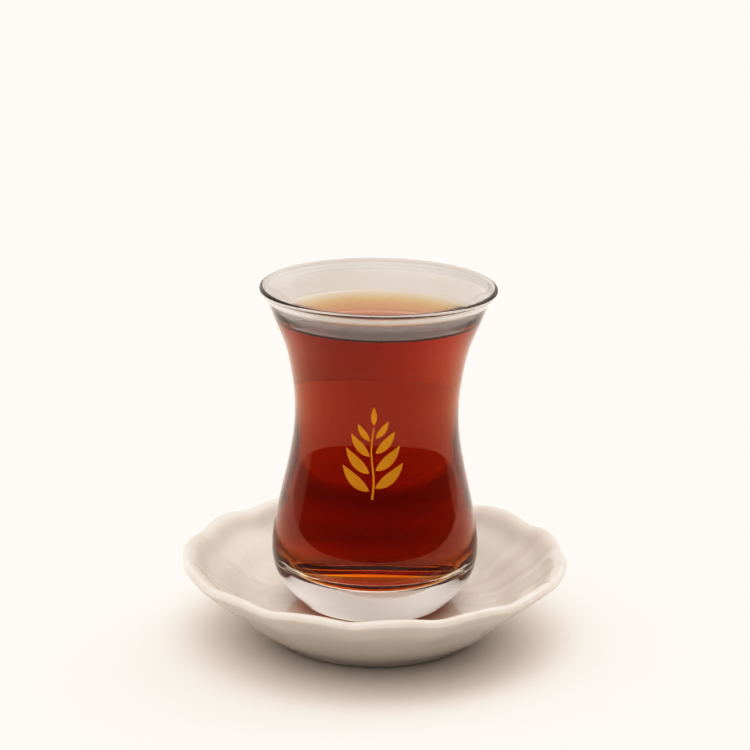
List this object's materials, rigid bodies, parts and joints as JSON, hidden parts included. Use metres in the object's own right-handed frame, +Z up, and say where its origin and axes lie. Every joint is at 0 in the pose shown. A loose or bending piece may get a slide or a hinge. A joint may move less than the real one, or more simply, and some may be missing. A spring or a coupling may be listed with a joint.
{
  "type": "glass of tea",
  "caption": "Clear waisted tea glass of dark red-brown black tea with an open flared mouth, standing in the well of a white scalloped porcelain saucer.",
  "frame": {"origin": "on the table under the middle of the saucer's foot ring", "axes": "+Z up along the common axis of the glass and the saucer, -Y towards the side that the picture shows, +X to its right"},
  "size_m": [0.1024, 0.1024, 0.0958],
  "materials": {
    "clear_glass": "clear polished soda-lime glass",
    "tea": "clear dark red-brown black tea with a still, glossy surface",
    "porcelain": "warm white high-gloss glaze",
    "gilding": "thin dull gold print fired on the glass"
  },
  "bodies": {
    "root": {"glass": "clear_glass", "tea": "tea", "saucer": "porcelain"}
  },
  "joints": []
}
